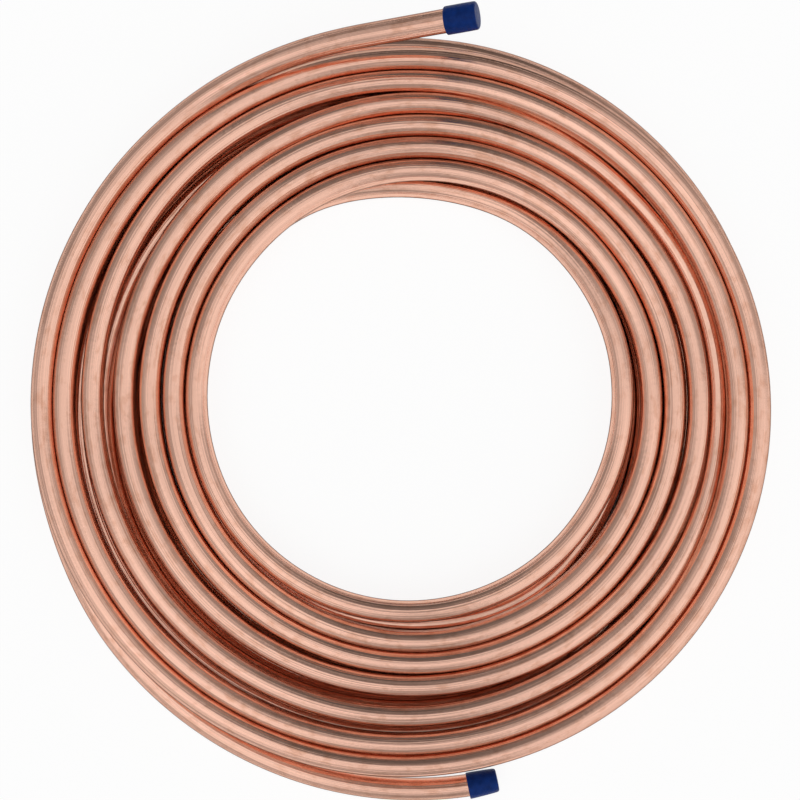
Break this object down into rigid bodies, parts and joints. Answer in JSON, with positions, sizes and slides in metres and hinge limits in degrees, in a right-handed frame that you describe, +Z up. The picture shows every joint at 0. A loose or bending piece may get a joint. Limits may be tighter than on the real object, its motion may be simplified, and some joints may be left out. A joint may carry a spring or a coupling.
{
  "type": "copper tube coil",
  "caption": "Annealed copper tube wound flat in two layers, one tail lifted from the rim and one leaving it low, each end closed by a push-on cap.",
  "frame": {"origin": "on the coil's axis, at the level of the floor that the coil lies on", "axes": "+Z up along the coil's axis; both ends of the tube point towards +X, the lifted one on the +Y side of the coil and the low one on the -Y side"},
  "size_m": [0.4326, 0.4506, 0.075],
  "materials": {
    "copper": "bright drawn copper, soft annealed, fine lengthwise draw lines",
    "blue_plastic": "soft satin dark blue plastic"
  },
  "bodies": {
    "root": {"tube_coil": "copper", "upper_end_cap": "blue_plastic", "lower_end_cap": "blue_plastic"}
  },
  "joints": []
}
